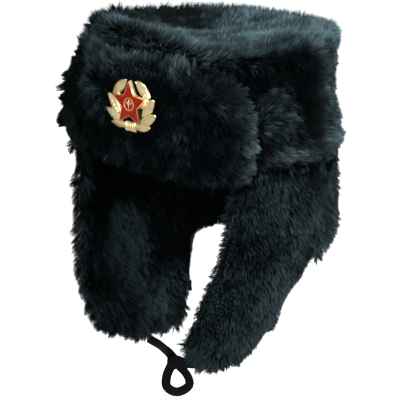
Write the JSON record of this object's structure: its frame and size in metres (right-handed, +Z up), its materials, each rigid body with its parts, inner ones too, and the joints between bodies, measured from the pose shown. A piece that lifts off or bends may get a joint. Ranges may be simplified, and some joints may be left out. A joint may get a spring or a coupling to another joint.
{
  "type": "ushanka fur hat",
  "caption": "Fur hat with a hollow cap, an upturned front flap with a metal badge, hanging ear and neck flaps, and a ribbon that ties the ear flaps under the chin.",
  "frame": {"origin": "the head seat: the middle of the inside of the cap's top, where the crown of the head touches", "axes": "+Z up, -Y to the front, +X to the wearer's left"},
  "size_m": [0.2151, 0.2685, 0.3232],
  "materials": {
    "fur": "deep-pile synthetic fur, blue-black",
    "quilted_lining": "black quilted cloth",
    "badge_metal": "pale gold, stamped",
    "badge_enamel": "red enamel, glossy",
    "tie_ribbon": "black woven ribbon"
  },
  "bodies": {
    "root": {"crown_wall": "quilted_lining", "crown_fur": "fur", "front_flap": "fur", "ear_flap_left": "fur", "ear_flap_right": "fur", "neck_flap": "fur", "badge_wreath": "badge_metal", "badge_star": "badge_enamel", "badge_emblem": "badge_metal", "tie_ribbon_right": "tie_ribbon", "tie_ribbon_left": "tie_ribbon", "tie_knot": "tie_ribbon", "tie_loop": "tie_ribbon"}
  },
  "joints": []
}
